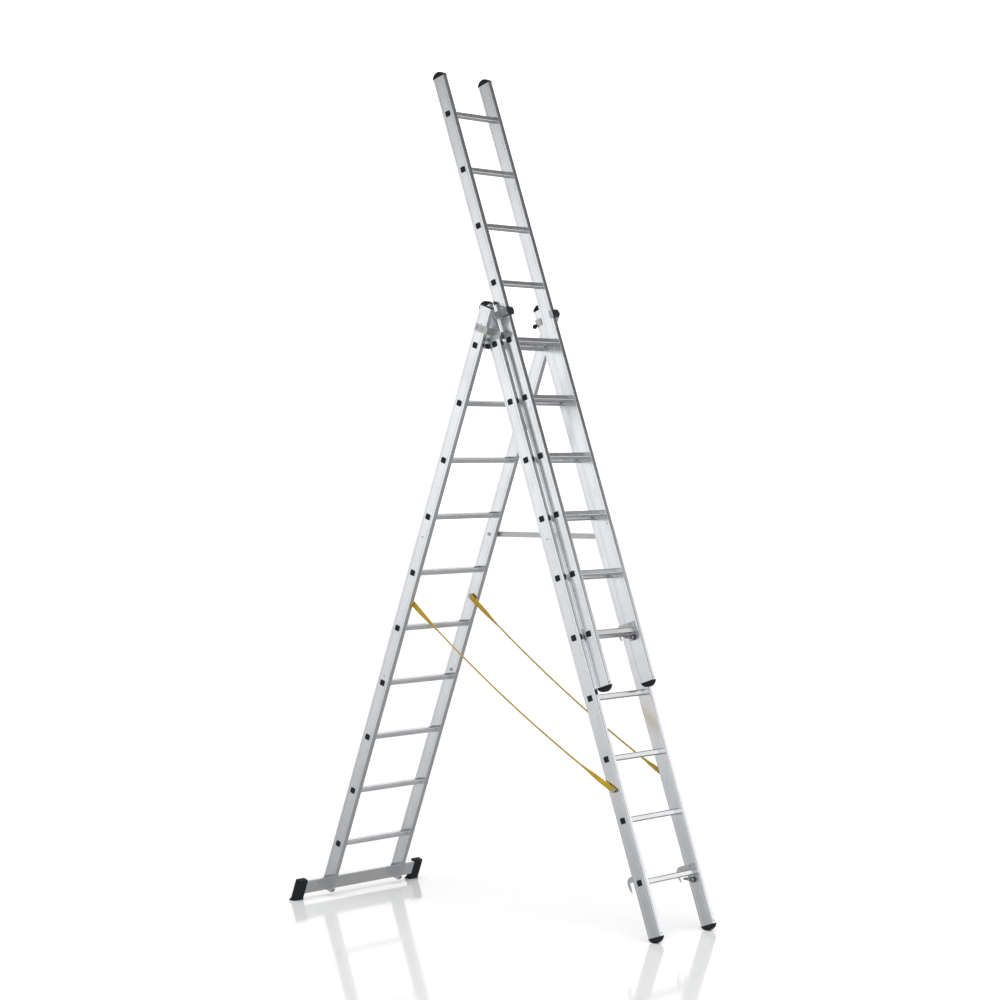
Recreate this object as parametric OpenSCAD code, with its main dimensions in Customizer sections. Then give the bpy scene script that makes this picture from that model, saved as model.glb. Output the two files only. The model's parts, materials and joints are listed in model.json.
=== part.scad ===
// Three-section combination ladder, standing as a step ladder with its third section raised.
// Units are millimetres, +Z is up, and the origin lies on the floor under the middle of the ladder.
//
// Every section is drawn in one shared section frame, the closed ladder: X runs along the rungs,
// Y points to the back of the ladder and Z runs up the stiles. Z is 0 at the top rung of the front
// section and Y is 0 at its centre plane. place_front() and place_rear() then lean the two legs
// about the hinge pins.

/* [Sections] */
// Distance from one rung to the next
rung_pitch = 280; // [270:5:300]
// Rungs in each section
rung_count = 10; // [8:1:10]
// Stile left above the top rung
top_overhang = 184; // [170:2:220]
// Stile left below the bottom rung
bottom_overhang = 244; // [220:2:280]
// Outer width of the rear section
rear_width = 506; // [490:2:620]
// Outer width of the front section
front_width = 420; // [400:2:432]
// Outer width of the fly section
fly_width = 350; // [300:2:352]
// Distance between the centre planes of two stacked sections
section_step = 60; // [58:0.5:66]
// Rung pitches by which the fly section is raised
fly_raise = 4; // [0:1:4]

/* [Stance] */
// Lean of the front leg from the vertical
front_lean = 19.2; // [14:0.1:22]
// Lean of the rear leg from the vertical
rear_lean = 20; // [14:0.1:22]

/* [Stiles] */
// Size of the stile tube from front to back
stile_depth = 70; // [60:1:74]
// Size of the stile tube along the rungs
stile_thickness = 24; // [22:0.5:26]
// Wall of the stile tube
stile_wall = 1.7; // [1.4:0.1:2.4]
// Corner radius of the stile tube
stile_corner = 4; // [3:0.5:5]
// Depth of the long grooves in the broad faces
stile_groove = 0.7; // [0.3:0.1:0.8]

/* [Rungs] */
// Side of the square rung tube
rung_size = 25; // [23:0.5:28]
// Wall of the rung tube
rung_wall = 1.8; // [1.4:0.1:2.4]
// Corner radius of the rung tube
rung_corner = 5; // [3:0.5:6]
// How far the swaged collar stands out round the rung
collar_lip = 2; // [1:0.5:3]
// Thickness of the collar on the outside of the stile
outer_collar = 1.3; // [0.8:0.1:2]
// Thickness of the collar on the inside of the stile
inner_collar = 2; // [1:0.5:3]
// Thickness of the head of a rung plug
plug_stand = 0.9; // [0.4:0.1:1.5]
// How much wider than the rung that head is
plug_lip = 2; // [0:0.5:3]

/* [End caps] */
// Height of the half-moon cap beyond the end of the stile
cap_height = 25; // [18:1:30]

/* [Hinge] */
// Hinge pin behind the centre plane of the front section
hinge_y = 37.4; // [37:0.2:40]
// Hinge pin above the top rung
hinge_z = 36; // [32:1:42]
// Diameter of the hinge pin
hinge_pin = 10; // [8:0.5:12]
// Thickness of the hinge plate
hinge_plate = 3; // [2.5:0.5:3.5]

/* [Guides] */
// Thickness of the guide straps
guide_thickness = 2.5; // [2:0.5:3]
// Height of the guide straps of the rear section
rear_guide_height = 33; // [28:1:36]
// Lower edge of those straps above the top rung
rear_guide_z = 65; // [65:1:66]
// Height of the guides that hold the fly section
fly_guide_height = 34; // [34:1:44]
// Lower edge of those guides above the top rung
fly_guide_z = 111; // [106:1:112]

/* [Hooks] */
// Thickness of the hook plate
hook_plate = 4; // [3:0.5:5]
// Slack of the throat round the rung that it hooks over
hook_slack = 1.3; // [0.8:0.1:2]
// Width of the claw behind the throat
hook_claw = 12; // [9:0.5:14]
// Thickness of the safety latch
latch_plate = 3; // [2:0.5:4]

/* [Stabiliser] */
// Length of the stabiliser bar without its feet
bar_length = 862; // [800:2:1100]
// Height of the bar
bar_height = 68; // [60:1:76]
// Depth of the bar
bar_depth = 25; // [22:1:30]
// Wall of the bar
bar_wall = 2; // [1.5:0.1:3]
// Length of bar that each foot takes in
foot_grip = 44; // [40:2:80]
// Wall of the foot
foot_wall = 3; // [2.5:0.5:5]
// How far the sole flares out
foot_flare = 4; // [3:0.5:8]

/* [Stay] */
// Height of the stay bar
stay_height = 25; // [20:1:28]
// Thickness of the stay bar
stay_thickness = 4; // [3:0.5:5]
// Bolt of the stay below the top rung
stay_drop = 940; // [930:1:950]

/* [Straps] */
// Width of the webbing
strap_width = 25; // [20:1:28]
// Thickness of the webbing
strap_thickness = 2.4; // [2:0.2:3]

/* [Hidden] */
// Clearance of a tube in its hole, all round
hole_fit = 0.1;
// Radial clearance of a turning pin
pin_fit = 0.05;
// Gap between plates that slide past each other
plate_gap = 0.3;
// Play that the guides leave round a stile
guide_play = 4;
// Shank and head of a rivet or small bolt
rivet_shank = 3;
rivet_head = 6;
rivet_head_height = 1.6;
// Shank, head and head height of the larger bolts
bolt_shank = 4;
bolt_head = 8;
bolt_head_height = 5;

front_half = front_width / 2;
rear_half = rear_width / 2;
fly_half = fly_width / 2;
front_inner = front_half - stile_thickness;
rear_inner = rear_half - stile_thickness;
fly_inner = fly_half - stile_thickness;

bottom_rung_z = -(rung_count - 1) * rung_pitch;
stile_end_z = bottom_rung_z - bottom_overhang;
stile_length = top_overhang - stile_end_z;
fly_lift = fly_raise * rung_pitch;
fly_y = -section_step;

// Half-moon cap: a circular segment on a chord a little wider than the stile
cap_overlap = 1;
cap_chord = stile_depth + 2 * cap_overlap;
cap_radius = (cap_chord * cap_chord / 4 + cap_height * cap_height) / (2 * cap_height);
cap_centre = cap_radius - cap_height;

// Stabiliser bar, let into the back of the rear stiles
bar_front_y = section_step + 13;
bar_y = bar_front_y + bar_depth / 2;
bar_z = stile_end_z + 22;
bar_top_z = bar_z + bar_height / 2;
bar_bolt_z = stile_end_z + 14;
foot_top = 6;
foot_flare_height = 16;

// Hinge pins in the world, and the turn of each leg from the section frame
front_turn = -front_lean;
rear_turn = rear_lean;
function turned_y(y, z, a) = (y - hinge_y) * cos(a) - (z - hinge_z) * sin(a);
function turned_z(y, z, a) = (y - hinge_y) * sin(a) + (z - hinge_z) * cos(a);
pivot_z = cap_radius - turned_z(0, stile_end_z + cap_centre, front_turn);
foot_back_y = bar_y + bar_depth / 2 + foot_wall + foot_flare;
foot_back_z = hinge_z - (pivot_z + (foot_back_y - hinge_y) * sin(rear_turn)) / cos(rear_turn);
front_reach = turned_y(-cap_chord / 2, stile_end_z, front_turn);
rear_reach = turned_y(foot_back_y, foot_back_z, rear_turn);
pivot_y = -(front_reach + rear_reach) / 2;

// Hook outline, measured from the rung that carries the hook
claw_inner = section_step + rung_size / 2 + hook_slack;
claw_outer = claw_inner + hook_claw;
throat_front = section_step - rung_size / 2 - hook_slack;
throat_top = rung_size / 2 + plate_gap;
hook_round = 27;
hook_window = rung_size + 2 * collar_lip + 1;
hook_bolt_y = 4;
hook_bolt_z = rung_size / 2 + 14;
latch_y = 2;
latch_z = -(rung_size / 2 + 21);
latch_ring = 14;
latch_bore = bolt_shank + pin_fit;

// Guides of the rear section pass outside the front stiles and end in a lip before them
rear_guide_side = front_half + hinge_plate + 1;
rear_guide_bend_y = section_step - stile_depth / 2 - 12;
rear_guide_front_y = -(stile_depth / 2 + 1);
rear_guide_lip = fly_half + 3;
rear_guide_grip = 63;

// Guides of the front section wrap the fly stiles
fly_guide_front_y = fly_y - stile_depth / 2 - guide_play;
fly_guide_back_y = 38;
fly_knob = [7, 11, 44, fly_guide_z + 5];
fly_guide_lip = fly_inner - 1.5;
fly_guide_lip_length = 21;
fly_pad_depth = 8;

// Stay: its bolt on the rear section and the pin on the front section that it hooks over
stay_x = rear_half + 3.5;
stay_pin_radius = 4;
stay_pin_z = -stay_drop + 3;
stay_from = [pivot_y + turned_y(section_step, -stay_drop, rear_turn),
             pivot_z + turned_z(section_step, -stay_drop, rear_turn)];
stay_to = [pivot_y + turned_y(0, stay_pin_z, front_turn),
           pivot_z + turned_z(0, stay_pin_z, front_turn)];
stay_span = norm(stay_to - stay_from);
stay_angle = atan2(stay_from[1] - stay_to[1], stay_from[0] - stay_to[0]);
stay_lip = 10;
stay_play = 0.4;

// Webbing straps, between a stud on the rear section and a stud on the front section
strap_rear_z = -4.5 * rung_pitch;
strap_front_z = -7.5 * rung_pitch;
strap_x = (front_half + rear_inner) / 2;
strap_from = [pivot_y + turned_y(section_step, strap_rear_z, rear_turn),
              pivot_z + turned_z(section_step, strap_rear_z, rear_turn)];
strap_to = [pivot_y + turned_y(0, strap_front_z, front_turn),
            pivot_z + turned_z(0, strap_front_z, front_turn)];
strap_span = norm(strap_to - strap_from);
strap_angle = atan2(strap_from[1] - strap_to[1], strap_from[0] - strap_to[0]);
stud_shank = 4.5;
stud_head = 10;
stud_head_height = 2;

aluminium = "Gainsboro";
steel = "Silver";
plastic = [0.13, 0.14, 0.15];
webbing = [0.78, 0.62, 0.12];

SIDES = [["left", -1], ["right", 1]];
SECTIONS = ["front", "rear", "fly"];

// ---------------------------------------------------------------- placing

module place_front() {
    translate([0, pivot_y, pivot_z])
        rotate([front_turn, 0, 0])
            translate([0, -hinge_y, -hinge_z])
                children();
}

module place_rear() {
    translate([0, pivot_y, pivot_z])
        rotate([rear_turn, 0, 0])
            translate([0, -hinge_y, -hinge_z])
                children();
}

module place_fly() {
    place_front()
        translate([0, fly_y, fly_lift])
            children();
}

// ---------------------------------------------------------------- shared shapes

module rounded_rect(w, h, r) {
    square([w - 2 * r, h], center = true);
    square([w, h - 2 * r], center = true);
    for (sx = [-1, 1], sy = [-1, 1])
        translate([sx * (w / 2 - r), sy * (h / 2 - r)])
            circle(r = r, $fn = 24);
}

// Draws a YZ outline as a plate between two distances from the middle of the ladder
module side_plate(side, from_x, to_x) {
    translate([side * (from_x + to_x) / 2, 0, 0])
        rotate([90, 0, 90])
            linear_extrude(to_x - from_x, center = true)
                children();
}

// A round bar along X, between two distances from the middle of the ladder
module side_pin(side, from_x, to_x, y, z, r) {
    translate([side * from_x, y, z])
        rotate([0, side * 90, 0])
            cylinder(r = r, h = to_x - from_x, $fn = 32);
}

module stile_profile() {
    groove_half = rung_size / 2 + 9;
    difference() {
        rounded_rect(stile_thickness, stile_depth, stile_corner);
        rounded_rect(stile_thickness - 2 * stile_wall, stile_depth - 2 * stile_wall,
                     stile_corner - stile_wall);
        for (sx = [-1, 1], sy = [-1, 1])
            translate([sx * stile_thickness / 2, sy * groove_half])
                square([2 * stile_groove, 3], center = true);
    }
}

module stile_tube(side, half) {
    middle = half - stile_thickness / 2;
    difference() {
        translate([side * middle, 0, stile_end_z])
            linear_extrude(stile_length)
                stile_profile();
        for (i = [0 : rung_count - 1])
            translate([side * middle, 0, -i * rung_pitch])
                cube([stile_thickness + 2, rung_size + 2 * hole_fit, rung_size + 2 * hole_fit],
                     center = true);
    }
}

module rung_profile() {
    inner = rung_size - 2 * rung_wall;
    inner_corner = rung_corner - rung_wall;
    rib = 1.2;
    difference() {
        rounded_rect(rung_size, rung_size, rung_corner);
        rounded_rect(inner, inner, inner_corner);
        for (k = [-2 : 2], turn = [0, 90, 180])
            rotate(turn)
                translate([k * 3.6, rung_size / 2])
                    square([rib, 1.1], center = true);
    }
}

module collar_ring(side, from_x, to_x) {
    outer = rung_size + 2 * collar_lip;
    hole = rung_size - rung_wall;
    side_plate(side, from_x, to_x)
        difference() {
            rounded_rect(outer, outer, rung_corner);
            rounded_rect(hole, hole, rung_corner - rung_wall / 2);
        }
}

module rung_tube(half) {
    inner = half - stile_thickness;
    length = 2 * (half + outer_collar);
    rotate([90, 0, 90])
        linear_extrude(length, center = true)
            rung_profile();
    for (side = [-1, 1]) {
        collar_ring(side, half, half + outer_collar);
        collar_ring(side, inner - inner_collar, inner);
    }
}

// Plug in the end of a rung, with a flat head that covers the mouth of the tube
module rung_plug(side, half) {
    inner = rung_size - 2 * rung_wall - 2 * hole_fit;
    seat = half + outer_collar;
    side_plate(side, seat - 8, seat)
        rounded_rect(inner, inner, rung_corner - rung_wall);
    side_plate(side, seat, seat + plug_stand)
        rounded_rect(rung_size + plug_lip, rung_size + plug_lip, rung_corner);
}

module cap_segment() {
    intersection() {
        translate([0, -cap_centre])
            circle(r = cap_radius, $fn = 96);
        translate([-cap_chord, 0])
            square([2 * cap_chord, cap_radius]);
    }
}

// Half-moon cap on the end of a stile, drawn with its arch up and its chord at Z 0
module end_cap(side, half) {
    side_plate(side, half - stile_thickness - 0.8, half + 0.8)
        cap_segment();
    translate([side * (half - stile_thickness / 2), 0, 0])
        stile_insert(16);
}

// Block that a cap or plug pushes into the open end of a stile
module stile_insert(depth) {
    gap = 0.3;
    translate([0, 0, -depth])
        linear_extrude(depth)
            rounded_rect(stile_thickness - 2 * (stile_wall + gap),
                         stile_depth - 2 * (stile_wall + gap), stile_corner - stile_wall + 0.5);
}

// Caps on both ends of both stiles of a section
module section_caps(half) {
    for (side = [-1, 1]) {
        translate([0, 0, top_overhang])
            end_cap(side, half);
        translate([0, 0, stile_end_z])
            mirror([0, 0, 1])
                end_cap(side, half);
    }
}

// ---------------------------------------------------------------- hooks and latches

module hook_outline() {
    body_top = throat_top + 25;
    difference() {
        union() {
            translate([-22, latch_z - 13])
                square([22 + throat_front - 16, body_top - latch_z + 13]);
            translate([-22, throat_top - 6])
                square([claw_outer - hook_round + 22, body_top - throat_top + 6]);
            translate([claw_outer - hook_round, body_top - hook_round])
                circle(r = hook_round, $fn = 64);
            polygon([[claw_inner - 1, body_top - hook_round], [claw_inner - 1, -30], [claw_inner + 3, -31],
                     [claw_outer - 2, -12], [claw_outer, body_top - hook_round]]);
        }
        translate([throat_front, -60])
            square([claw_inner - throat_front, 60 + throat_top]);
        square(hook_window, center = true);
    }
}

module hook(side, inner) {
    difference() {
        side_plate(side, inner - hook_plate, inner)
            hook_outline();
        side_pin(side, inner - hook_plate - 1, inner + 1, hook_bolt_y, hook_bolt_z, rivet_shank + pin_fit);
        side_pin(side, inner - hook_plate - 1, inner + 1, latch_y, latch_z, latch_bore);
    }
}

module latch_outline() {
    nose_top = -(rung_size / 2 + 3);
    difference() {
        union() {
            translate([latch_y, latch_z])
                circle(r = latch_ring, $fn = 48);
            polygon([[latch_y, latch_z - 11], [throat_front - 2, nose_top - 11],
                     [section_step - 4, nose_top - 6], [section_step - 4, nose_top],
                     [throat_front - 4, nose_top], [latch_y, latch_z + 11]]);
            translate([latch_y - 22, latch_z - 5])
                square([16, 9]);
        }
        translate([latch_y, latch_z])
            circle(r = latch_bore, $fn = 32);
        translate([latch_y + 26, latch_z + 8])
            circle(r = 4, $fn = 24);
    }
}

module latch(side, inner) {
    face = inner - hook_plate - plate_gap;
    side_plate(side, face - latch_plate, face)
        latch_outline();
}

module at_bottom_rung() {
    translate([0, 0, bottom_rung_z])
        children();
}

// Bolts of one hook: a rivet above the rung and the stepped pin that its latch turns on
module hook_fixings(side, inner) {
    plate_face = inner - hook_plate;
    latch_face = plate_face - 2 * plate_gap - latch_plate;
    side_pin(side, plate_face - 2, plate_face, hook_bolt_y, hook_bolt_z, rivet_head);
    side_pin(side, plate_face, inner + stile_wall, hook_bolt_y, hook_bolt_z, rivet_shank);
    side_pin(side, latch_face - 3, latch_face, latch_y, latch_z, bolt_head);
    side_pin(side, latch_face, inner + stile_wall, latch_y, latch_z, bolt_shank);
}

module hook_holes(side, inner) {
    side_pin(side, inner - 1, inner + 2 * stile_wall, hook_bolt_y, hook_bolt_z, rivet_shank + pin_fit);
    side_pin(side, inner - 1, inner + 2 * stile_wall, latch_y, latch_z, bolt_shank + pin_fit);
}

// ---------------------------------------------------------------- front section

module front_stile(side) {
    color(aluminium)
        place_front()
            difference() {
                stile_tube(side, front_half);
                at_bottom_rung()
                    hook_holes(side, front_inner);
                outer_wall_hole(side, front_half, 0, strap_front_z, stud_shank);
                outer_wall_hole(side, front_half, 0, stay_pin_z, stay_pin_radius);
                for (y = hinge_rivets_y)
                    outer_wall_hole(side, front_half, y, hinge_z, rivet_shank);
                for (z = fly_guide_rivets_z)
                    inner_wall_hole(side, front_inner, fly_guide_rivet_y, z, rivet_shank);
            }
}

hinge_rivets_y = [-13, 9];
fly_guide_rivet_y = 6;
fly_guide_rivets_z = [fly_guide_z + 10, fly_guide_z + fly_guide_height - 10];

module outer_wall_hole(side, half, y, z, r) {
    side_pin(side, half - 2 * stile_wall, half + 1, y, z, r + pin_fit);
}

module inner_wall_hole(side, inner, y, z, r) {
    side_pin(side, inner - 1, inner + 2 * stile_wall, y, z, r + pin_fit);
}

module front_rung(i) {
    color(aluminium)
        place_front()
            translate([0, 0, -(i - 1) * rung_pitch])
                rung_tube(front_half);
}

module front_rung_plugs() {
    color(plastic)
        place_front()
            for (i = [0 : rung_count - 1], side = [-1, 1])
                translate([0, 0, -i * rung_pitch])
                    rung_plug(side, front_half);
}

module front_end_caps() {
    color(plastic)
        place_front()
            section_caps(front_half);
}

// Plate on the outside of the front stile, with an ear behind it that holds the hinge pin
module hinge_plate_outline() {
    ear = hinge_pin / 2 + 9;
    rung_clear = rung_size / 2 + collar_lip + 3;
    difference() {
        union() {
            translate([-24, rung_clear])
                square([24 + hinge_y, hinge_z + ear - rung_clear]);
            translate([hinge_y, hinge_z])
                circle(r = ear, $fn = 48);
            translate([rung_clear, -10])
                square([hinge_tail_y - rung_clear, hinge_z + 10]);
        }
        translate([hinge_y, hinge_z])
            circle(r = hinge_pin / 2 + pin_fit, $fn = 48);
    }
}

module hinge_plates() {
    color(steel)
        place_front()
            for (side = [-1, 1])
                difference() {
                    side_plate(side, front_half, front_half + hinge_plate)
                        hinge_plate_outline();
                    for (y = hinge_rivets_y)
                        side_pin(side, front_half - 1, front_half + hinge_plate + 1, y, hinge_z,
                                 rivet_shank + pin_fit);
                    hinge_pad_screw(side, rivet_shank + pin_fit);
                }
}

// The plate's tail stops short of the rear rung, which swings down beside it as the legs close
hinge_tail_y = section_step - rung_size / 2 - 1.5;
hinge_pad_size = [15, 19];
hinge_pad_y = hinge_tail_y - hinge_pad_size[0] / 2 - 0.5;
hinge_pad_z = 4;

module hinge_pad_screw(side, r) {
    side_pin(side, front_half + 0.2, front_half + hinge_plate + 6, hinge_pad_y, hinge_pad_z, r);
}

// Black plastic pieces of the front section: a spacer pad behind each hinge plate's tail, the
// bumper on the front of each fly guide and the knob at its back. The knob's numbers are its
// length, radius, Y and Z.
module front_pads() {
    guide_out = front_inner;
    guide_face = front_inner - guide_thickness;
    guide_in = fly_guide_lip - guide_thickness;
    color(plastic)
        place_front()
            for (side = [-1, 1]) {
                difference() {
                    side_plate(side, front_half + hinge_plate, rear_inner - inner_collar - 0.5)
                        translate([hinge_pad_y, hinge_pad_z])
                            rounded_rect(hinge_pad_size[0], hinge_pad_size[1], 2);
                    hinge_pad_screw(side, rivet_shank + pin_fit);
                }
                translate([0, fly_guide_front_y - guide_thickness, fly_guide_z + fly_guide_height / 2])
                    side_plate(side, guide_in - 1, guide_out + 1)
                        fly_pad_outline();
                side_pin(side, guide_face - fly_knob[0], guide_face, fly_knob[2], fly_knob[3],
                         fly_knob[1]);
            }
}

module fly_pad_outline() {
    half = fly_guide_height / 2 + 1;
    intersection() {
        translate([2 * half - fly_pad_depth, 0])
            circle(r = 2 * half, $fn = 96);
        translate([-fly_pad_depth, -half])
            square([fly_pad_depth, 2 * half]);
    }
}

// U-shaped straps on the front section that hold the fly stiles
module fly_guides() {
    inner_x = fly_guide_lip - guide_thickness;
    color(steel)
        place_front()
            for (side = [-1, 1])
                difference() {
                    translate([0, 0, fly_guide_z])
                        linear_extrude(fly_guide_height)
                            union() {
                                side_strip(side, front_inner - guide_thickness, front_inner,
                                           fly_guide_front_y - guide_thickness, fly_guide_back_y);
                                side_strip(side, inner_x, front_inner,
                                           fly_guide_front_y - guide_thickness, fly_guide_front_y);
                                side_strip(side, inner_x, inner_x + guide_thickness,
                                           fly_guide_front_y - guide_thickness,
                                           fly_guide_front_y + fly_guide_lip_length);
                            }
                    for (z = fly_guide_rivets_z)
                        side_pin(side, front_inner - guide_thickness - 1, front_inner + 1,
                                 fly_guide_rivet_y, z, rivet_shank + pin_fit);
                }
}

// A rectangle in the XY plane between two distances from the middle of the ladder
module side_strip(side, from_x, to_x, from_y, to_y) {
    translate([side > 0 ? from_x : -to_x, from_y])
        square([to_x - from_x, to_y - from_y]);
}

module front_hooks() {
    color(steel)
        place_front()
            at_bottom_rung()
                for (side = [-1, 1])
                    hook(side, front_inner);
}

module front_latch(side) {
    color(steel)
        place_front()
            at_bottom_rung()
                latch(side, front_inner);
}

// Stud that carries the end of a webbing strap: shank, washer and flat head
module strap_stud(side, wall_x, inward_x, y, z) {
    near = min(wall_x, inward_x);
    far = max(wall_x, inward_x);
    head_x = inward_x > wall_x ? far - stud_head_height : near;
    seat_x = inward_x > wall_x ? near : far - 1;
    side_pin(side, near - (inward_x > wall_x ? stile_wall : 0), far + (inward_x > wall_x ? 0 : stile_wall),
             y, z, stud_shank);
    side_pin(side, head_x, head_x + stud_head_height, y, z, stud_head);
    side_pin(side, seat_x, seat_x + 1, y, z, stud_head);
}

// Small screw in the front edge of a stile, just above its foot
module foot_screw(side, half) {
    translate([side * (half - stile_thickness / 2), -stile_depth / 2, stile_end_z + 12])
        rotate([90, 0, 0])
            cylinder(r = 3.5, h = 1.2, $fn = 24);
}

module front_fixings() {
    color(steel)
        place_front()
            for (side = [-1, 1]) {
                at_bottom_rung()
                    hook_fixings(side, front_inner);
                for (y = hinge_rivets_y)
                    side_pin(side, front_half - stile_wall, front_half + hinge_plate, y, hinge_z,
                             rivet_shank);
                hinge_pad_screw(side, rivet_shank);
                for (z = fly_guide_rivets_z) {
                    side_pin(side, front_inner - guide_thickness, front_inner + stile_wall,
                             fly_guide_rivet_y, z, rivet_shank);
                    side_pin(side, front_inner - guide_thickness - rivet_head_height,
                             front_inner - guide_thickness, fly_guide_rivet_y, z, rivet_head);
                }
                strap_stud(side, front_half, strap_x + 6, 0, strap_front_z);
                foot_screw(side, front_half);
                if (side > 0)
                    stay_pin(side);
                else
                    side_pin(side, front_half - stile_wall, front_half + 1.2, 0, stay_pin_z,
                             stay_pin_radius);
            }
}

// Pin on the front section that the stay hooks over, on a spacer that clears the rear stile
module stay_pin(side) {
    spacer_radius = 8;
    side_pin(side, front_half - stile_wall, front_half, 0, stay_pin_z, stay_pin_radius);
    side_pin(side, front_half, stay_x - plate_gap, 0, stay_pin_z, spacer_radius);
    side_pin(side, stay_x - plate_gap, stay_x + stay_thickness + plate_gap, 0, stay_pin_z,
             stay_pin_radius);
    side_pin(side, stay_x + stay_thickness + plate_gap, stay_x + stay_thickness + 3, 0, stay_pin_z, 7);
}

// ---------------------------------------------------------------- rear section

guide_rivets_y = [section_step - 14, section_step + 14];
stile_bolts_z = [-stay_drop, -stay_drop - 2.52 * rung_pitch];
guide_mark_z = rear_guide_z + rear_guide_height + 7;

module rear_stile(side) {
    color(aluminium)
        place_rear()
            difference() {
                translate([0, section_step, 0])
                    stile_tube(side, rear_half);
                translate([side * (rear_half - stile_thickness / 2), bar_front_y + 50,
                           bar_top_z + 1 - 100])
                    cube([stile_thickness + 2, 100, 200], center = true);
                translate([side * (rear_half - stile_thickness / 2), section_step - stile_depth / 2,
                           bar_bolt_z])
                    rotate([90, 0, 0])
                        cylinder(r = bolt_shank + pin_fit, h = 20, center = true, $fn = 32);
                inner_wall_hole(side, rear_inner, hinge_y, hinge_z, hinge_pin / 2);
                inner_wall_hole(side, rear_inner, section_step, strap_rear_z, stud_shank);
                for (y = guide_rivets_y)
                    outer_wall_hole(side, rear_half, y, rear_guide_z + rear_guide_height / 2,
                                    rivet_shank);
                outer_wall_hole(side, rear_half, section_step - 4, guide_mark_z, rivet_shank);
                for (z = stile_bolts_z)
                    side_pin(side, rear_inner - 1, rear_half + 1, section_step, z,
                             bolt_shank + pin_fit);
            }
}

module rear_rung(i) {
    color(aluminium)
        place_rear()
            translate([0, section_step, -(i - 1) * rung_pitch])
                rung_tube(rear_half);
}

// Square plugs in the rung ends and flat plugs in the tops of the rear stiles
module rear_plugs() {
    plate = 2.5;
    color(plastic)
        place_rear()
            translate([0, section_step, 0])
                for (side = [-1, 1]) {
                    for (i = [0 : rung_count - 1])
                        translate([0, 0, -i * rung_pitch])
                            rung_plug(side, rear_half);
                    translate([side * (rear_half - stile_thickness / 2), 0, top_overhang]) {
                        linear_extrude(plate)
                            rounded_rect(stile_thickness + 1, stile_depth + 1, stile_corner);
                        stile_insert(14);
                    }
                }
}

module bar_profile() {
    difference() {
        rounded_rect(bar_depth, bar_height, 3);
        rounded_rect(bar_depth - 2 * bar_wall, bar_height - 2 * bar_wall, 1);
    }
}

module stabiliser_bar() {
    color(aluminium)
        place_rear()
            difference() {
                translate([0, bar_y, bar_z])
                    rotate([90, 0, 90])
                        linear_extrude(bar_length, center = true)
                            bar_profile();
                for (side = [-1, 1])
                    bar_bolt_shank(side, bolt_shank + pin_fit);
            }
}

module bar_bolt_shank(side, r) {
    front = section_step - stile_depth / 2;
    back = bar_front_y + bar_depth;
    translate([side * (rear_half - stile_thickness / 2), front, bar_bolt_z])
        rotate([-90, 0, 0])
            cylinder(r = r, h = back - front, $fn = 32);
}

module bar_bolt_head(side, y, turn) {
    translate([side * (rear_half - stile_thickness / 2), y, bar_bolt_z])
        rotate([turn, 0, 0])
            cylinder(r = bolt_head, h = bolt_head_height, $fn = 6);
}

// Rubber foot over the end of the bar. It flares to its sole, which is cut level with the floor.
module stabiliser_foot(side) {
    tip = bar_length / 2 + foot_wall + 5;
    start = bar_length / 2 - foot_grip;
    front = bar_front_y - foot_wall;
    back = bar_front_y + bar_depth + foot_wall;
    top = bar_top_z + foot_top;
    low = foot_back_z - 20;
    flare_z = foot_back_z + foot_flare_height;
    intersection() {
        place_rear()
            difference() {
                union() {
                    side_plate(side, start, tip)
                        translate([(front + back) / 2, (top + low) / 2])
                            rounded_rect(back - front, top - low, 4);
                    side_plate(side, start - foot_flare, tip + foot_flare)
                        polygon([[front, flare_z], [back, flare_z], [back + foot_flare, flare_z - 9],
                                 [back + foot_flare, low], [front - foot_flare, low],
                                 [front - foot_flare, flare_z - 9]]);
                }
                side_plate(side, start - 2 * foot_flare, bar_length / 2 + hole_fit)
                    translate([bar_y, bar_z])
                        rounded_rect(bar_depth + 2 * hole_fit, bar_height + 2 * hole_fit, 3);
            }
        translate([side * (start + tip) / 2, pivot_y + rear_reach, 250])
            cube([400, 600, 500], center = true);
    }
}

module stabiliser_feet() {
    color(plastic) {
        stabiliser_foot(-1);
        stabiliser_foot(1);
    }
}

// Pin of the hinge: a stud with a flange on the inner face of the rear stile
module hinge_pins() {
    color(steel)
        place_rear()
            for (side = [-1, 1]) {
                side_pin(side, front_half + 0.2, rear_inner + stile_wall, hinge_y, hinge_z,
                         hinge_pin / 2);
                side_pin(side, rear_inner - 3, rear_inner, hinge_y, hinge_z, hinge_pin / 2 + 6);
            }
}

// Straps on the rear section that reach past the front stiles and hold them by a lip
module rear_guides() {
    t = guide_thickness;
    out_x = rear_half + t;
    in_x = rear_guide_side + t;
    color(steel)
        place_rear()
            for (side = [-1, 1])
                difference() {
                    translate([0, 0, rear_guide_z])
                        linear_extrude(rear_guide_height)
                            union() {
                                side_strip(side, rear_half, out_x, rear_guide_bend_y,
                                           rear_guide_bend_y + 12 + rear_guide_grip);
                                side_strip(side, rear_guide_side, out_x, rear_guide_bend_y,
                                           rear_guide_bend_y + t);
                                side_strip(side, rear_guide_side, in_x, rear_guide_front_y - t,
                                           rear_guide_bend_y);
                                side_strip(side, rear_guide_lip, in_x, rear_guide_front_y - t,
                                           rear_guide_front_y);
                            }
                    for (y = guide_rivets_y)
                        side_pin(side, rear_half - 1, out_x + 1, y,
                                 rear_guide_z + rear_guide_height / 2, rivet_shank + pin_fit);
                }
}

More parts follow.
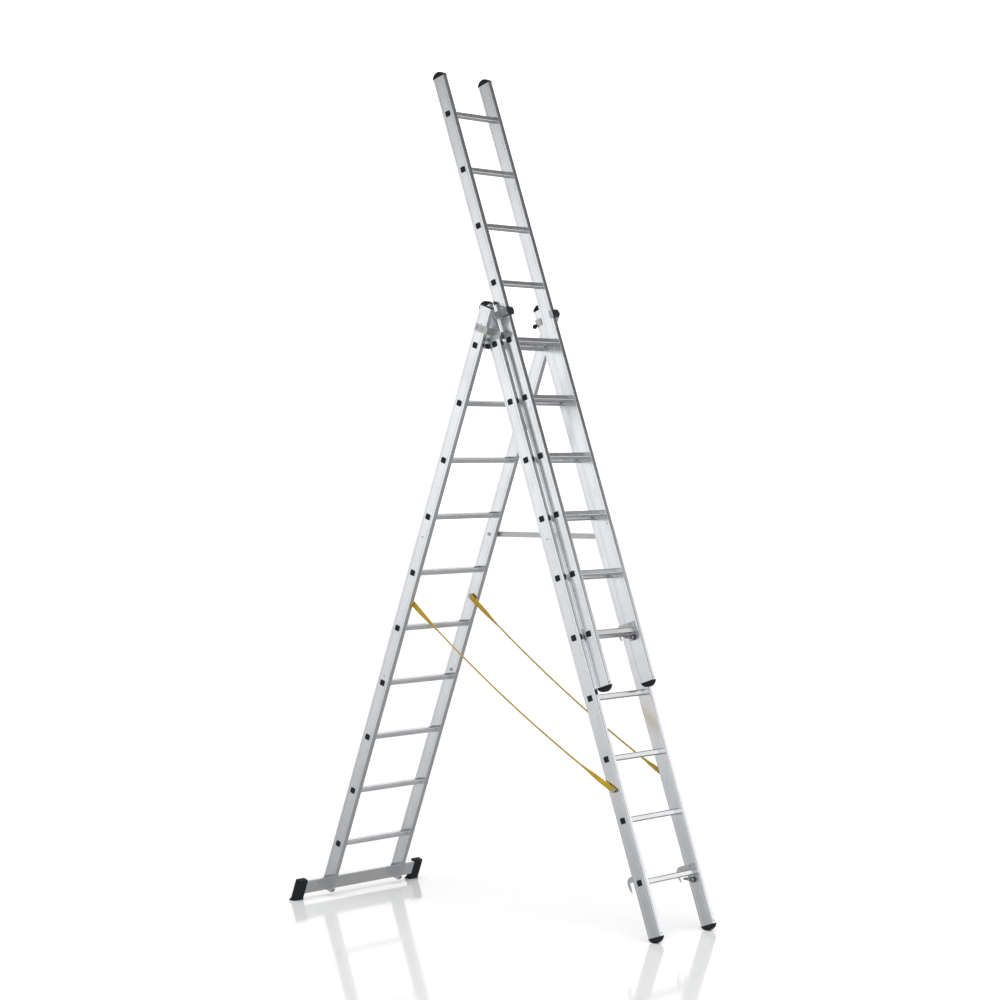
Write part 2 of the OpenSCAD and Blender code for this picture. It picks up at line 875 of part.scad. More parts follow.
module rear_fixings() {
    middle_z = rear_guide_z + rear_guide_height / 2;
    plate_face = rear_half + guide_thickness;
    color(steel)
        place_rear()
            for (side = [-1, 1]) {
                for (y = guide_rivets_y) {
                    side_pin(side, rear_half - stile_wall, plate_face, y, middle_z, rivet_shank);
                    side_pin(side, plate_face, plate_face + rivet_head_height, y, middle_z, rivet_head);
                }
                side_pin(side, rear_half - stile_wall, rear_half + 0.8, section_step - 4, guide_mark_z,
                         rivet_shank);
                strap_stud(side, rear_inner, strap_x - 6, section_step, strap_rear_z);
                bar_bolt_shank(side, bolt_shank);
                bar_bolt_head(side, section_step - stile_depth / 2, 90);
                bar_bolt_head(side, bar_front_y + bar_depth, -90);
                for (z = stile_bolts_z)
                    stile_bolt(side, z);
            }
}

// Bolt through a rear stile. The upper one on the right carries the stay.
module stile_bolt(side, z) {
    carries_stay = side > 0 && z == stile_bolts_z[0];
    far = carries_stay ? stay_x + stay_thickness + plate_gap : rear_half + 1.2;
    side_pin(side, rear_inner - bolt_head_height + 1, rear_inner, section_step, z, bolt_head);
    side_pin(side, rear_inner, far, section_step, z, bolt_shank);
    if (carries_stay) {
        side_pin(side, rear_half, stay_x - plate_gap, section_step, z, bolt_head + 2);
        side_pin(side, far, far + bolt_head_height, section_step, z, bolt_head);
    }
}

// ---------------------------------------------------------------- fly section

module fly_stile(side) {
    color(aluminium)
        place_fly()
            difference() {
                stile_tube(side, fly_half);
                at_bottom_rung()
                    hook_holes(side, fly_inner);
            }
}

module fly_rung(i) {
    color(aluminium)
        place_fly()
            translate([0, 0, -(i - 1) * rung_pitch])
                rung_tube(fly_half);
}

module fly_rung_plugs() {
    color(plastic)
        place_fly()
            for (i = [0 : rung_count - 1], side = [-1, 1])
                translate([0, 0, -i * rung_pitch])
                    rung_plug(side, fly_half);
}

module fly_end_caps() {
    color(plastic)
        place_fly()
            section_caps(fly_half);
}

module fly_hooks() {
    color(steel)
        place_fly()
            at_bottom_rung()
                for (side = [-1, 1])
                    hook(side, fly_inner);
}

module fly_latch(side) {
    color(steel)
        place_fly()
            at_bottom_rung()
                latch(side, fly_inner);
}

module fly_fixings() {
    color(steel)
        place_fly()
            for (side = [-1, 1]) {
                at_bottom_rung()
                    hook_fixings(side, fly_inner);
                foot_screw(side, fly_half);
                side_pin(side, fly_inner - 1.2, fly_inner, -20, -7.2 * rung_pitch, rivet_shank);
            }
}

// ---------------------------------------------------------------- stay and straps

// Flat bar on the right of the ladder, hooked over the stay pin. The notch lets the pin leave
// downwards and backwards when the legs close.
module stay_outline() {
    half = stay_height / 2;
    seat = stay_pin_radius + stay_play;
    difference() {
        union() {
            translate([-stay_span, -half])
                square([stay_span, stay_height]);
            circle(r = half, $fn = 48);
            translate([-stay_span - seat - stay_lip, -half])
                square([seat + stay_lip + 1, stay_height]);
        }
        circle(r = bolt_shank + pin_fit, $fn = 32);
        translate([-stay_span, 0])
            circle(r = seat, $fn = 32);
        polygon([[-stay_span - seat, 0], [-stay_span - seat, -half - 1], [-stay_span + 54, -half - 1],
                 [-stay_span + 54, -half], [-stay_span + 1.5, seat - 0.3]]);
    }
}

module stay() {
    color(steel)
        translate([0, stay_from[0], stay_from[1]])
            rotate([stay_angle, 0, 0])
                side_plate(1, stay_x, stay_x + stay_thickness)
                    stay_outline();
}

// Webbing, looped at both ends round a stud
module strap(side) {
    half = strap_width / 2;
    color(webbing)
        translate([0, strap_from[0], strap_from[1]])
            rotate([strap_angle, 0, 0])
                side_plate(side, strap_x - strap_thickness / 2, strap_x + strap_thickness / 2)
                    difference() {
                        union() {
                            translate([-strap_span, -half])
                                square([strap_span, strap_width]);
                            for (y = [-strap_span, 0])
                                translate([y, 0])
                                    circle(r = half, $fn = 32);
                        }
                        for (y = [-strap_span, 0])
                            translate([y, 0])
                                circle(r = stud_shank + pin_fit, $fn = 32);
                    }
}

// ---------------------------------------------------------------- nodes

for (d = SIDES) {
    front_stile(d[1]);
    rear_stile(d[1]);
    fly_stile(d[1]);
    front_latch(d[1]);
    fly_latch(d[1]);
    strap(d[1]);
}
for (i = [1 : rung_count]) {
    front_rung(i);
    rear_rung(i);
    fly_rung(i);
}
front_rung_plugs();
rear_plugs();
fly_rung_plugs();
front_end_caps();
fly_end_caps();
stabiliser_bar();
stabiliser_feet();
hinge_plates();
hinge_pins();
front_pads();
rear_guides();
fly_guides();
front_hooks();
fly_hooks();
stay();
front_fixings();
rear_fixings();
fly_fixings();
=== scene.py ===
"""Finishes and soft parts of a three-section combination ladder, built round its packed CAD frame.

The file is laid out as an add-on: sizes and colours are properties, each group of pieces has an
operator, and a sidebar panel lists them. Lengths are metres.
"""

import json
import math

import bmesh
import bpy
from bpy.props import FloatProperty, FloatVectorProperty, PointerProperty
from mathutils import Euler, Matrix, Vector


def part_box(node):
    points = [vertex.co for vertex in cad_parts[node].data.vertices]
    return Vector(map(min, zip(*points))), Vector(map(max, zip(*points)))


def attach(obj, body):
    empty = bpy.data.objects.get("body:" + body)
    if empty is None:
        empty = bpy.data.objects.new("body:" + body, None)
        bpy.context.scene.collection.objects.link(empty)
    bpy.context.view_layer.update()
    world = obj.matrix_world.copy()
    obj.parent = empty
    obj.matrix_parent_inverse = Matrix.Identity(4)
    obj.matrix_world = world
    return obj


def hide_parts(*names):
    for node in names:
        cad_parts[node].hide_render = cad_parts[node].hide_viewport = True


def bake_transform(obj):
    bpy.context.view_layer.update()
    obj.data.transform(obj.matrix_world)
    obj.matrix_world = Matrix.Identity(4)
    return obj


bl_info = {
    "name": "Combination ladder",
    "version": (1, 0, 0),
    "blender": (4, 5, 0),
    "location": "3D View > Sidebar > Ladder",
    "description": "Finishes, straps, springs and stage of a combination ladder",
    "category": "Object",
}

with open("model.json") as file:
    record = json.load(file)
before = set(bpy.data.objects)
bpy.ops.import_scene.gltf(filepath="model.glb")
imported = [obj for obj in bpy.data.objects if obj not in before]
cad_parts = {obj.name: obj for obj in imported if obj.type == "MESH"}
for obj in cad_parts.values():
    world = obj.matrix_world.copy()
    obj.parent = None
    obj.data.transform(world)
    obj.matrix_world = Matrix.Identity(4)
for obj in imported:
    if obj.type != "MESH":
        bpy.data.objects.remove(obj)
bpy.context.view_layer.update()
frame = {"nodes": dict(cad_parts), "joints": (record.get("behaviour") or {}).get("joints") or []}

SIDES = (("left", -1), ("right", 1))
JOINTS = {joint["name"]: joint for joint in frame["joints"]}
HINGE = Vector(JOINTS["fold"]["pos_m"])
ROUND_END = 0.0125  # the CAD straps end this far past their studs
FLY_AXIS = Vector(JOINTS["fly_slide"]["axis"])
FRONT_LEAN = math.atan2(FLY_AXIS.y, FLY_AXIS.z)


def rear_lean():
    """The rear leg's lean, from the line of its rungs."""
    top = sum(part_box("rear_rung_1"), Vector()) / 2
    bottom = sum(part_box("rear_rung_10"), Vector()) / 2
    line = top - bottom
    return math.atan2(line.y, line.z)


REAR_LEAN = rear_lean()


# ---------------------------------------------------------------- settings


def length(name, description, default, low=0.0, high=20.0):
    """A property that holds a length in metres."""
    return FloatProperty(
        name=name,
        description=description,
        default=default,
        min=low,
        max=high,
        subtype="DISTANCE",
        unit="LENGTH",
    )


def colour(name, description, default):
    """A property that holds an opaque colour."""
    return FloatVectorProperty(
        name=name,
        description=description,
        default=(*default, 1.0),
        size=4,
        min=0.0,
        max=1.0,
        subtype="COLOR",
    )


class LadderStrapSizes(bpy.types.PropertyGroup):
    """Sizes of the two webbing straps"""

    width: length("Width", "Width of the webbing", 0.024, 0.01, 0.05)
    thickness: length("Thickness", "Thickness of one layer", 0.0021, 0.0008, 0.003)
    hem: length("Hem", "Length of the sewn fold at each end", 0.058, 0.03, 0.15)
    sag: length("Sag", "Sag at the middle", 0.040, 0.0, 0.08)
    turning: length("Turning", "Length over which the webbing turns", 0.17, 0.1, 0.5)
    twist: FloatProperty(
        name="Twist",
        description="Turn of the webbing between its ends",
        default=math.radians(-48),
        min=-math.pi,
        max=math.pi,
        subtype="ANGLE",
    )
    stitch: length("Stitch", "Length of one stitch", 0.0034, 0.002, 0.006)
    thread: length("Thread", "Radius of the sewing thread", 0.0004, 0.0002, 0.001)


class LadderSpringSizes(bpy.types.PropertyGroup):
    """Sizes of the torsion springs on the latches"""

    coil: length("Coil", "Radius of the coil", 0.0095, 0.009, 0.012)
    wire: length("Wire", "Radius of the wire", 0.0009, 0.0004, 0.0015)
    leg: length("Leg", "Length of each straight leg", 0.015, 0.005, 0.03)
    turns: FloatProperty(name="Turns", description="Turns of wire", default=2.6, min=1.0, max=4.0)


class LadderColours(bpy.types.PropertyGroup):
    """Colours of the finishes"""

    stile: colour("Stile", "Extruded aluminium of the stiles", (0.885, 0.90, 0.925))
    rung: colour("Rung", "Extruded aluminium of the rungs", (0.86, 0.87, 0.89))
    bar: colour("Bar", "Extruded aluminium of the stabiliser bar", (0.955, 0.965, 0.98))
    steel: colour("Steel", "Zinc-plated sheet steel", (0.70, 0.715, 0.73))
    bolt: colour("Bolt", "Zinc-plated bolts and rivets", (0.56, 0.57, 0.59))
    latch: colour("Latch", "Dark zinc-plated latches", (0.33, 0.335, 0.35))
    spring: colour("Spring", "Dark spring wire", (0.12, 0.12, 0.13))
    plastic: colour("Plastic", "Black plastic caps and plugs", (0.009, 0.011, 0.014))
    rubber: colour("Rubber", "Black rubber feet", (0.010, 0.013, 0.017))
    webbing: colour("Webbing", "Golden yellow webbing", (0.54, 0.35, 0.014))
    thread: colour("Thread", "Dark sewing thread", (0.10, 0.06, 0.012))
    floor: colour("Floor", "Pale studio floor", (0.92, 0.925, 0.93))


class LadderStage(bpy.types.PropertyGroup):
    """Camera, floor and light"""

    camera_side: length("Side", "Camera to the left of the hinge", 9.4606)
    camera_front: length("Front", "Camera in front of the hinge", 7.7825)
    camera_drop: length("Drop", "Camera below the hinge", 0.4811)
    lens: FloatProperty(
        name="Lens", description="Focal length", default=95.0, min=20.0, unit="CAMERA"
    )
    yaw: FloatProperty(
        name="Yaw",
        description="Turn of the camera about the vertical",
        default=math.radians(-50.213),
        subtype="ANGLE",
    )
    pitch: FloatProperty(
        name="Pitch",
        description="Tilt of the camera above the level",
        default=math.radians(-1.198),
        subtype="ANGLE",
    )
    floor_radius: length("Floor", "Radius of the floor", 60.0, 5.0, 200.0)
    light_strength: FloatProperty(
        name="Studio light", description="Strength of the soft room light", default=1.0
    )
    overhead: FloatProperty(
        name="Overhead light", description="Strength of the soft light from above", default=2.6
    )


# ---------------------------------------------------------------- node and mesh helpers


def add_node(tree, kind, sockets=None, **settings):
    """A shader node, with its settings and its sockets' values. A value that is a socket is linked."""
    node = tree.nodes.new(kind)
    for name, value in settings.items():
        setattr(node, name, value)
    for key, value in (sockets or {}).items():
        if isinstance(value, bpy.types.NodeSocket):
            tree.links.new(value, node.inputs[key])
        else:
            node.inputs[key].default_value = value
    return node


def new_material(name):
    """A material with one Principled shader, and its tree."""
    material = bpy.data.materials.new(name)
    material.use_nodes = True
    tree = material.node_tree
    return material, tree, tree.nodes["Principled BSDF"]


def placed(tree, scale=(1, 1, 1), turn=(0, 0, 0), source="Object"):
    """Texture coordinates through a Mapping node."""
    coordinates = add_node(tree, "ShaderNodeTexCoord")
    sockets = {"Vector": coordinates.outputs[source], "Scale": scale, "Rotation": turn}
    return add_node(tree, "ShaderNodeMapping", sockets).outputs["Vector"]


def noise(tree, vector, scale, detail=4.0, roughness=0.55):
    """A soft random pattern, of about scale spots to the metre."""
    sockets = {"Vector": vector, "Scale": scale, "Detail": detail, "Roughness": roughness}
    return add_node(tree, "ShaderNodeTexNoise", sockets).outputs["Fac"]


def spread(tree, value, low, high, low_in=0.0, high_in=1.0, interpolation_type="LINEAR"):
    """value, spread over a new range."""
    return add_node(
        tree,
        "ShaderNodeMapRange",
        {
            "Value": value,
            "From Min": low_in,
            "From Max": high_in,
            "To Min": low,
            "To Max": high,
        },
        interpolation_type=interpolation_type,
    ).outputs["Result"]


def smooth_step(tree, value, start, end, low=0.0, high=1.0):
    """low where value is at start, high where it is at end, and soft between them."""
    return spread(tree, value, low, high, start, end, "SMOOTHSTEP")


def arithmetic(tree, operation, a, b):
    """The result of one operation on two numbers or sockets."""
    return add_node(tree, "ShaderNodeMath", {0: a, 1: b}, operation=operation).outputs[0]


def multiply(tree, a, b):
    """a times b."""
    return arithmetic(tree, "MULTIPLY", a, b)


def added(tree, a, b):
    """a plus b."""
    return arithmetic(tree, "ADD", a, b)


def shade(tree, base, factor):
    """base, a colour or a colour socket, made lighter or darker by factor, a socket near 1."""
    if not isinstance(base, bpy.types.NodeSocket):
        base = base[:3]
    scaled = add_node(tree, "ShaderNodeVectorMath", {0: base, 3: factor}, operation="SCALE")
    return scaled.outputs["Vector"]


def blended_colour(tree, share, first, second):
    """The first colour where share is 0, and the second where it is 1."""
    sockets = {"Factor": share, "A": tuple(first), "B": tuple(second)}
    return add_node(tree, "ShaderNodeMix", sockets, data_type="RGBA").outputs["Result"]


def bump(tree, height, strength, distance, normal=None):
    """A shading normal raised by height, over another bump if one is given."""
    sockets = {"Height": height, "Strength": strength, "Distance": distance}
    if normal is not None:
        sockets["Normal"] = normal
    return add_node(tree, "ShaderNodeBump", sockets).outputs["Normal"]


def connect(tree, shader, **sockets):
    """Sets or links the shader's sockets, named in lower case with underscores."""
    for key, value in sockets.items():
        socket = shader.inputs[key.replace("_", " ").title().replace("Ior", "IOR")]
        if isinstance(value, bpy.types.NodeSocket):
            tree.links.new(value, socket)
        else:
            socket.default_value = value


def piece_from(mesh, name, material, *more):
    """A new object from a bmesh, with its materials."""
    data = bpy.data.meshes.new(name)
    mesh.to_mesh(data)
    mesh.free()
    for one in (material, *more):
        data.materials.append(one)
    piece = bpy.data.objects.new(name, data)
    bpy.context.scene.collection.objects.link(piece)
    return piece


def smooth(piece, angle=math.radians(35)):
    """Smooth shading with crisp edges."""
    piece.data.shade_smooth()
    piece.data.set_sharp_from_angle(angle=angle)


def material_named(name):
    """A finish that is already made."""
    found = bpy.data.materials.get(name)
    if found is None:
        raise RuntimeError(f"run the finishes first: there is no material {name}")
    return found


# ---------------------------------------------------------------- finishes


def extruded_aluminium(name, base, lean, along="Z"):
    """Satin aluminium with fine die lines along the tube, faint clouds and small scuffs."""
    material, tree, shader = new_material(name)
    turn = (lean, 0, 0)
    drawn = 0.004  # squeezes the pattern along the tube, so that its spots become long die lines
    stretch = (1, 1, drawn) if along == "Z" else (drawn, 1, 1)
    lines_at = placed(tree, scale=stretch, turn=turn)
    lines = noise(tree, lines_at, 900, detail=3, roughness=0.6)
    bands = noise(tree, lines_at, 120, detail=2)
    clouds = noise(tree, placed(tree), 5.5, detail=5, roughness=0.6)
    specks = noise(tree, placed(tree), 260, detail=2)
    scuffs = noise(tree, placed(tree, scale=(1, 1, 0.25), turn=turn), 42, detail=6, roughness=0.7)
    tone = multiply(tree, spread(tree, lines, 0.93, 1.05), spread(tree, bands, 0.965, 1.03))
    tone = multiply(tree, tone, spread(tree, clouds, 0.94, 1.05, 0.3, 0.7))
    tone = multiply(tree, tone, spread(tree, scuffs, 1.0, 0.93, 0.62, 0.74))
    rough = added(tree, spread(tree, lines, 0.15, 0.23), spread(tree, scuffs, 0.0, 0.12, 0.6, 0.75))
    relief = bump(tree, lines, 0.22, 0.0002)
    relief = bump(tree, specks, 0.10, 0.00015, relief)
    connect(
        tree,
        shader,
        base_color=shade(tree, base, tone),
        metallic=1.0,
        roughness=rough,
        normal=relief,
    )
    return material


def zinc_steel(name, base, grain, rough_low, rough_high):
    """Zinc-plated steel: a mottled crystal tone, a faint warm cast and rolling marks."""
    material, tree, shader = new_material(name)
    at = placed(tree)
    crystals = add_node(
        tree,
        "ShaderNodeTexVoronoi",
        {"Vector": at, "Scale": grain, "Randomness": 1.0},
        feature="F1",
    )
    mottle = noise(tree, at, grain * 0.35, detail=5, roughness=0.65)
    marks = noise(tree, placed(tree, scale=(1, 0.05, 1)), grain * 3, detail=2)
    tone = multiply(
        tree,
        spread(tree, crystals.outputs["Distance"], 1.08, 0.88),
        spread(tree, mottle, 0.84, 1.14, 0.3, 0.7),
    )
    warm = (base[0] * 1.02, base[1], base[2] * 0.95, 1.0)
    tint = blended_colour(tree, spread(tree, mottle, 0.0, 1.0, 0.42, 0.66), base, warm)
    connect(
        tree,
        shader,
        base_color=shade(tree, tint, tone),
        metallic=1.0,
        roughness=spread(tree, mottle, rough_low, rough_high),
        normal=bump(tree, marks, 0.15, 0.0002),
    )
    return material


def moulded_black(name, base, grain, rough, most_dust):
    """Moulded plastic or rubber: spark-eroded grain, handling marks and a little pale dust."""
    material, tree, shader = new_material(name)
    at = placed(tree)
    grains = noise(tree, at, grain, detail=3, roughness=0.7)
    patches = noise(tree, at, 24, detail=5, roughness=0.6)
    dust = noise(tree, at, 75, detail=8, roughness=0.75)
    dusty = (*(min(1.0, part * 2.2 + 0.02) for part in base[:3]), 1.0)
    tint = blended_colour(tree, spread(tree, dust, 0.0, most_dust, 0.5, 0.8), base, dusty)
    tone = multiply(tree, spread(tree, patches, 0.8, 1.2), spread(tree, grains, 0.85, 1.15))
    connect(
        tree,
        shader,
        base_color=shade(tree, tint, tone),
        roughness=spread(tree, patches, rough - 0.08, rough + 0.1, 0.3, 0.7),
        normal=bump(tree, grains, 0.35, 0.0003),
    )
    shader.inputs["Specular IOR Level"].default_value = 0.25
    return material


def yarns(tree, at, scale, distortion, direction):
    """Bands of yarn across a direction of the UV map."""
    sockets = {"Vector": at, "Scale": scale, "Distortion": distortion, "Detail": 1.0}
    return add_node(tree, "ShaderNodeTexWave", sockets, bands_direction=direction).outputs["Fac"]


def woven_webbing(name, base):
    """Webbing in a slanting weave, along the strap's own UV map: U runs along it in metres."""
    material, tree, shader = new_material(name)
    warp = placed(tree, scale=(620, 620, 1), source="UV")
    ends = yarns(tree, warp, 0.32, 0.25, "Y")
    picks = yarns(tree, warp, 0.16, 0.4, "DIAGONAL")
    weave = multiply(tree, spread(tree, ends, 0.45, 1.0), spread(tree, picks, 0.55, 1.0))
    fade = noise(tree, placed(tree), 34, detail=4)
    fuzz = noise(tree, placed(tree), 1400, detail=2)
    tone = multiply(tree, spread(tree, weave, 0.72, 1.12), spread(tree, fade, 0.86, 1.14, 0.3, 0.7))
    tone = multiply(tree, tone, spread(tree, fuzz, 0.94, 1.06))
    relief = bump(tree, fuzz, 0.2, 0.0002, bump(tree, weave, 0.7, 0.0005))
    connect(tree, shader, base_color=shade(tree, base, tone), roughness=0.78, normal=relief)
    shader.inputs["Sheen Weight"].default_value = 0.12
    shader.inputs["Sheen Roughness"].default_value = 0.4
    return material


def sewing_thread(name, base):
    """Twisted dark thread."""
    material, tree, shader = new_material(name)
    twist = noise(tree, placed(tree), 2600, detail=2)
    connect(
        tree,
        shader,
        base_color=shade(tree, base, spread(tree, twist, 0.6, 1.5)),
        roughness=spread(tree, twist, 0.55, 0.8),
        normal=bump(tree, twist, 0.4, 0.0002),
    )
    return material


def studio_floor(name, base):
    """Pale, slightly glossy floor with a very faint unevenness."""
    material, tree, shader = new_material(name)
    waves = noise(tree, placed(tree), 0.8, detail=3)
    grain = noise(tree, placed(tree), 60, detail=2)
    connect(
        tree,
        shader,
        base_color=shade(tree, base, spread(tree, grain, 0.995, 1.005)),
        roughness=spread(tree, waves, 0.07, 0.10, 0.3, 0.7),
        normal=bump(tree, waves, 0.02, 0.001),
    )
    shader.inputs["Specular IOR Level"].default_value = 0.3
    return material


NODE_FINISHES = {
    "rung_plugs": "black plastic",
    "rear_plugs": "black plastic",
    "end_caps": "black plastic",
    "front_pads": "black plastic",
    "stabiliser_feet": "black rubber",
    "stabiliser_bar": "bar aluminium",
    "hinge_plates": "zinc steel",
    "hinge_pins": "bolt steel",
    "guides": "zinc steel",
    "hooks": "zinc steel",
    "latch": "latch steel",
    "stay": "zinc steel",
    "fixings": "bolt steel",
}


def finish_of(node):
    """The name of the finish of a CAD node."""
    section = "rear" if node.startswith("rear") else "front"
    if "_stile_" in node:
        return f"{section} stile aluminium"
    if "_rung_" in node and not node.endswith("plugs"):
        return f"{section} rung aluminium"
    if node.startswith("strap"):
        return "yellow webbing"
    for part, finish in NODE_FINISHES.items():
        if part in node:
            return finish
    raise RuntimeError(f"no finish is set for {node}")


class LADDER_OT_finishes(bpy.types.Operator):
    """Make every finish and give it to the CAD parts"""

    bl_idname = "ladder.finishes"
    bl_label = "Finishes"

    def execute(self, context):
        colours = context.scene.ladder_colours
        for section, lean in (("front", FRONT_LEAN), ("rear", REAR_LEAN)):
            extruded_aluminium(f"{section} stile aluminium", colours.stile, lean)
            extruded_aluminium(f"{section} rung aluminium", colours.rung, lean, along="X")
        extruded_aluminium("bar aluminium", colours.bar, REAR_LEAN, along="X")
        zinc_steel("zinc steel", colours.steel, 260, 0.28, 0.42)
        zinc_steel("bolt steel", colours.bolt, 700, 0.28, 0.42)
        zinc_steel("latch steel", colours.latch, 320, 0.26, 0.40)
        zinc_steel("spring steel", colours.spring, 1100, 0.24, 0.36)
        moulded_black("black plastic", colours.plastic, 900, 0.42, 0.35)
        moulded_black("black rubber", colours.rubber, 650, 0.66, 0.5)
        woven_webbing("yellow webbing", colours.webbing)
        sewing_thread("dark thread", colours.thread)
        studio_floor("studio floor", colours.floor)
        for node, part in frame["nodes"].items():
            part.data.materials.clear()
            part.data.materials.append(material_named(finish_of(node)))
        return {"FINISHED"}


# ---------------------------------------------------------------- straps

PAST_STUD = 0.007  # webbing past the middle of each stud
STRAP_CUTS = 220  # lengthwise steps of a strap's mesh
HEM_CUTS = 14  # and of a hem's
THIN_EDGE = 0.12  # share of its thickness that the webbing falls back at its edges
HEM_LIFT = 1.02  # thicknesses from the middle of the strap to the middle of its hem
THREAD_LIFTS = (-1.55, 0.52)  # and to the thread on the hem's face and on the strap's
SEAM_MARGIN = 0.0032  # from the edge of the webbing to its stitching
SEAM_FROM_STUD = 0.018
SEAM_FROM_HEM_END = 0.005
STITCH_PITCH = 1.35  # stitches' lengths from the start of one to the start of the next
STITCH_GAP = 0.14  # share of that pitch left bare before and after a stitch


def eased(share):
    """0 to 1 with soft ends."""
    share = min(1.0, max(0.0, share))
    return share * share * (3 - 2 * share)


class StrapPath:
    """The line of a strap between its studs, with its sag and twist."""

    def __init__(self, side, sizes):
        low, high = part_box(f"strap_{side}")
        x = (low.x + high.x) / 2
        self.front = Vector((x, low.y + ROUND_END, low.z + ROUND_END))
        self.rear = Vector((x, high.y - ROUND_END, high.z - ROUND_END))
        self.line = self.rear - self.front
        self.arc = self.line.length + 8 / 3 * sizes.sag**2 / self.line.length  # of a shallow parabola
        self.sizes = sizes

    def at(self, share):
        """The middle of the webbing, the way across it and the way out of its face."""
        along = self.line.normalized()
        across = along.cross(Vector((1, 0, 0))).normalized()
        hem = self.sizes.hem / self.line.length
        turning = self.sizes.turning / self.line.length
        turn = eased((share - hem) / turning) - eased((share - 1 + hem + turning) / turning)
        turned = self.sizes.twist * turn
        sag = self.sizes.sag * 4 * share * (1 - share)
        middle = self.front + self.line * share - Vector((0, 0, sag))
        spin = Matrix.Rotation(turned, 3, along)
        return middle, spin @ across, spin @ Vector((1, 0, 0))


def strap_sheet(path, start, end, offset, steps):
    """A flat strip of webbing along the path, from start to end metres, lifted off the middle."""
    sizes = path.sizes
    total = path.line.length
    mesh = bmesh.new()
    uv = mesh.loops.layers.uv.new("UVMap")
    bmesh.ops.create_grid(mesh, x_segments=steps, y_segments=4, size=0.5)
    for face in mesh.faces:
        for loop in face.loops:
            u = start + (loop.vert.co.x + 0.5) * (end - start)
            loop[uv].uv = (u, loop.vert.co.y * sizes.width)
    for vertex in mesh.verts:
        share = (start + (vertex.co.x + 0.5) * (end - start)) / total
        middle, across, out = path.at(share)
        edge = abs(vertex.co.y) * 2
        thinner = sizes.thickness * THIN_EDGE * edge**6
        vertex.co = middle + across * vertex.co.y * sizes.width + out * (offset - thinner)
    return mesh


def stitch_row(mesh, path, start, end, across_from, across_to, offset):
    """A row of stitches on the strap, from one point of its face to another."""
    sizes = path.sizes
    span = math.hypot(end - start, across_to - across_from)
    count = max(2, round(span / (sizes.stitch * STITCH_PITCH)))
    for i in range(count):
        ends = []
        for share in ((i + STITCH_GAP) / count, (i + 1 - STITCH_GAP) / count):
            middle, across, out = path.at((start + (end - start) * share) / path.line.length)
            place = across_from + (across_to - across_from) * share
            ends.append(middle + across * place + out * offset)
        line = ends[1] - ends[0]
        turn = line.to_track_quat("Z", "Y").to_matrix().to_4x4()
        bmesh.ops.create_uvsphere(
            mesh,
            u_segments=6,
            v_segments=4,
            radius=1.0,
            matrix=Matrix.Translation((ends[0] + ends[1]) / 2)
            @ turn
            @ Matrix.Diagonal((sizes.thread, sizes.thread, line.length / 2, 1)),
        )


def sewn_box(mesh, path, start, end, offset):
    """Stitching of one hem: a box with a cross in it."""
    edge = path.sizes.width / 2 - SEAM_MARGIN
    rows = (
        (start, end, -edge, -edge),
        (start, end, edge, edge),
        (start, start, -edge, edge),
        (end, end, -edge, edge),
        (start, end, -edge, edge),
        (start, end, edge, -edge),
    )
    for row in rows:
        stitch_row(mesh, path, *row, offset)


def strap_hems(path, sign):
    """The folded ends of a strap, laid on its inner face."""
    sizes = path.sizes
    total = path.line.length
    hems = bmesh.new()
    hems.loops.layers.uv.new("UVMap")
    for start, end in ((-PAST_STUD, sizes.hem), (total - sizes.hem, total + PAST_STUD)):
        part = strap_sheet(path, start, end, sizes.thickness * HEM_LIFT * -sign, HEM_CUTS)
        holder = bpy.data.meshes.new("hem")
        part.to_mesh(holder)
        part.free()
        hems.from_mesh(holder)
        bpy.data.meshes.remove(holder)
    return hems


def strap_stitches(path, sign):
    """The stitching of both hems, on both faces."""
    sizes = path.sizes
    total = path.line.length
    near = SEAM_FROM_STUD
    far = sizes.hem - SEAM_FROM_HEM_END
    stitches = bmesh.new()
    for start, end in ((near, far), (total - far, total - near)):
        for lift in THREAD_LIFTS:
            sewn_box(stitches, path, start, end, sizes.thickness * lift * sign)
    return stitches


class LADDER_OT_straps(bpy.types.Operator):
    """Make the webbing straps, with their sewn hems and stitching"""

    bl_idname = "ladder.straps"
    bl_label = "Straps"

    def execute(self, context):
        sizes = context.scene.ladder_straps
        webbing = material_named("yellow webbing")
        thread = material_named("dark thread")
        for side, sign in SIDES:
            path = StrapPath(side, sizes)
            body = strap_sheet(path, -PAST_STUD, path.line.length + PAST_STUD, 0.0, STRAP_CUTS)
            strap = piece_from(body, f"webbing_{side}", webbing)
            hems = piece_from(strap_hems(path, sign), f"strap_hems_{side}", webbing)
            seams = piece_from(strap_stitches(path, sign), f"strap_stitches_{side}", thread)
            for piece in (strap, hems):
                solid = piece.modifiers.new("Webbing thickness", "SOLIDIFY")
                solid.thickness = sizes.thickness
                solid.offset = 0.0
            for piece in (strap, hems, seams):
                smooth(piece)
                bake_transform(piece)
            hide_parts(f"strap_{side}")
        return {"FINISHED"}


# ---------------------------------------------------------------- latch springs

WIRE_SIDES = 8
CUTS_PER_TURN = 20
TURN_PITCH = 2.1  # wire radii from one turn to the next
LATCH_CLEARANCE = 0.0004  # from the latch's plate to the first turn


